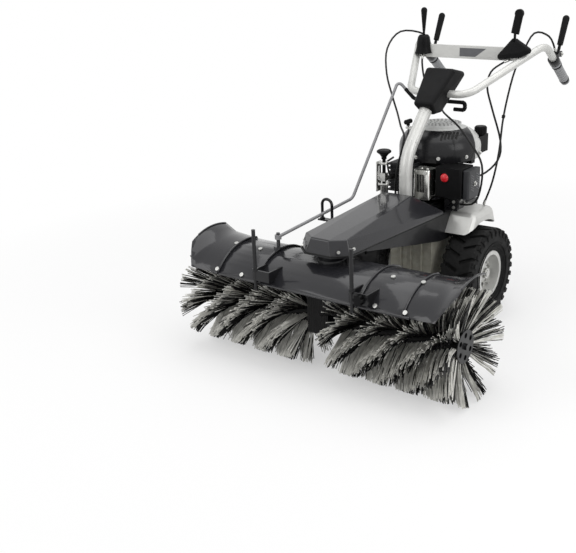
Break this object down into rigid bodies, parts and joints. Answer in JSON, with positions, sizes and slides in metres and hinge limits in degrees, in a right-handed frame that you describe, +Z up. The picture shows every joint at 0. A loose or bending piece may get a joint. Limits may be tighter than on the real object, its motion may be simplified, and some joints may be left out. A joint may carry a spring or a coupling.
{
  "type": "power brush sweeper",
  "caption": "Walk-behind power sweeper with a swivelling cylindrical brush under a fendered hood, driven wheels, a small engine and a handlebar with levers.",
  "frame": {"origin": "middle of the box, on the ground under the machine", "axes": "+Z up, +Y back towards the operator, +X to the operator's left when facing the brush from behind"},
  "size_m": [1.0048, 1.3545, 1.048],
  "materials": {
    "charcoal_paint": "gloss",
    "black_paint": "satin",
    "silver_paint": "satin",
    "case_paint": "matt",
    "engine_black": "cast",
    "cowl_plastic": "gloss",
    "housing_plastic": "satin",
    "black_plastic": "satin",
    "grey_plastic": "satin",
    "bright_steel": "brushed",
    "dark_steel": "satin",
    "carburettor_metal": "cast",
    "tyre_rubber": "matt",
    "black_rubber": "matt",
    "red_rubber": "gloss",
    "rope_cord": "woven",
    "bristle_fibre": "matt"
  },
  "bodies": {
    "chassis": {"main_frame": "black_paint", "belt_cover": "charcoal_paint", "transmission_case": "case_paint", "mudguards": "silver_paint", "engine_block": "engine_black", "engine_cowl": "cowl_plastic", "starter_housing": "housing_plastic", "fuel_tank": "black_plastic", "muffler": "dark_steel", "muffler_guard": "bright_steel", "air_filter_base": "black_plastic", "air_filter_cover": "grey_plastic", "carburettor": "carburettor_metal", "handlebar_post": "silver_paint", "console_front": "black_plastic", "console_rear": "black_plastic", "handlebar": "silver_paint", "crossbar": "silver_paint", "hand_grips": "grey_plastic", "lever_brackets": "bright_steel", "gear_boot": "black_plastic", "throttle_boot": "black_plastic", "brush_cable": "black_rubber", "drive_cable": "black_rubber", "gear_cable": "black_rubber", "throttle_cable": "black_rubber", "starter_rope": "rope_cord", "height_bracket": "bright_steel", "rod_guide": "black_paint", "drive_belt": "black_rubber"},
    "wheel_left": {"tyre_left": "tyre_rubber", "rim_left": "silver_paint", "axle_left": "bright_steel"},
    "wheel_right": {"tyre_right": "tyre_rubber", "rim_right": "silver_paint", "axle_right": "bright_steel"},
    "crankshaft": {"crank_pulley": "bright_steel"},
    "brush_head": {"brush_gearbox": "black_paint", "hood_centre": "charcoal_paint", "inner_fenders": "charcoal_paint", "fender_wings": "charcoal_paint", "fender_bolts": "bright_steel", "collector_hooks": "black_paint", "centre_flap": "black_rubber"},
    "collector_knob": {"hook_knob": "black_plastic"},
    "input_shaft": {"input_pulley": "bright_steel"},
    "brush": {"brush_shaft": "dark_steel", "bristles_left": "bristle_fibre", "bristles_right": "bristle_fibre"},
    "push_rod": {"swivel_rod": "bright_steel", "rod_handle": "black_plastic"},
    "clutch_left": {"clutch_lever_left": "black_plastic"},
    "clutch_right": {"clutch_lever_right": "black_plastic"},
    "gear_stick": {"gear_lever": "black_plastic"},
    "throttle_stick": {"throttle_lever": "black_plastic"},
    "height_screw": {"height_knob": "black_plastic"},
    "height_nut": {"height_slider": "bright_steel"},
    "primer": {"primer_bulb": "red_rubber"},
    "starter": {"starter_grip": "black_plastic"},
    "cap": {"fuel_cap": "black_plastic"}
  },
  "joints": [
    {"name": "wheel_left_spin", "type": "hinge", "parent": "chassis", "child": "wheel_left", "pos_m": [0.184, 0.12575, 0.165], "axis": [1, 0, 0], "continuous": true},
    {"name": "wheel_right_spin", "type": "hinge", "parent": "chassis", "child": "wheel_right", "pos_m": [-0.184, 0.12575, 0.165], "axis": [1, 0, 0], "continuous": true},
    {"name": "crankshaft_spin", "type": "hinge", "parent": "chassis", "child": "crankshaft", "pos_m": [0, 0.18375, 0.412], "axis": [0, 0, 1], "continuous": true},
    {"name": "brush_swivel", "type": "hinge", "parent": "chassis", "child": "brush_head", "pos_m": [0, -0.50025, 0.38], "axis": [0, 0, 1], "range_deg": [-15, 15]},
    {"name": "brush_spin", "type": "hinge", "parent": "brush_head", "child": "brush", "pos_m": [0, -0.50025, 0.177], "axis": [1, 0, 0], "continuous": true},
    {"name": "input_spin", "type": "hinge", "parent": "brush_head", "child": "input_shaft", "pos_m": [0, -0.50025, 0.412], "axis": [0, 0, 1], "continuous": true},
    {"name": "push_rod_pivot", "type": "hinge", "parent": "brush_head", "child": "push_rod", "pos_m": [-0.2, -0.51225, 0.404], "axis": [0, 0, 1], "range_deg": [-16, 16]},
    {"name": "collector_knob_turn", "type": "hinge", "parent": "brush_head", "child": "collector_knob", "pos_m": [0.21, -0.65825, 0.323], "axis": [0, 1, 0], "continuous": true},
    {"name": "clutch_left_squeeze", "type": "hinge", "parent": "chassis", "child": "clutch_left", "pos_m": [0.253, 0.58075, 0.875], "axis": [-1, 0, 0], "range_deg": [0, 100], "stiffness_Nm_per_rad": 1.5, "springref_deg": -22.92},
    {"name": "clutch_right_squeeze", "type": "hinge", "parent": "chassis", "child": "clutch_right", "pos_m": [-0.253, 0.58075, 0.875], "axis": [-1, 0, 0], "range_deg": [0, 100], "stiffness_Nm_per_rad": 1.5, "springref_deg": -22.92},
    {"name": "gear_shift", "type": "hinge", "parent": "chassis", "child": "gear_stick", "pos_m": [-0.18, 0.37075, 0.93], "axis": [1, 0, 0], "range_deg": [-20, 20]},
    {"name": "throttle_shift", "type": "hinge", "parent": "chassis", "child": "throttle_stick", "pos_m": [0.18, 0.37075, 0.93], "axis": [1, 0, 0], "range_deg": [-20, 20]},
    {"name": "height_screw_turn", "type": "hinge", "parent": "chassis", "child": "height_screw", "pos_m": [-0.075, -0.07425, 0.59], "axis": [0, 0, 1], "range_deg": [0, 1800]},
    {"name": "height_nut_lift", "type": "slide", "parent": "chassis", "child": "height_nut", "axis": [0, 0, 1], "range_m": [0, 0.02]},
    {"name": "primer_press", "type": "slide", "parent": "chassis", "child": "primer", "axis": [0, 1, 0], "range_m": [0, 0.006], "stiffness_N_per_m": 400, "springref_m": -0.003},
    {"name": "starter_pull", "type": "slide", "parent": "chassis", "child": "starter", "axis": [0, 0, 1], "range_m": [0, 0.3], "stiffness_N_per_m": 30, "springref_m": -0.15, "deforming": ["starter_rope"]},
    {"name": "fuel_cap_turn", "type": "hinge", "parent": "chassis", "child": "cap", "pos_m": [0.11, 0.27375, 0.65], "axis": [0, 0, 1], "range_deg": [0, 180]}
  ],
  "couplings": [
    {"joint": "input_spin", "follows": "brush_spin", "ratio": 6},
    {"joint": "push_rod_pivot", "follows": "brush_swivel", "ratio": -1},
    {"joint": "height_screw_turn", "follows": "height_nut_lift", "rad_per_m": 1570.8}
  ]
}
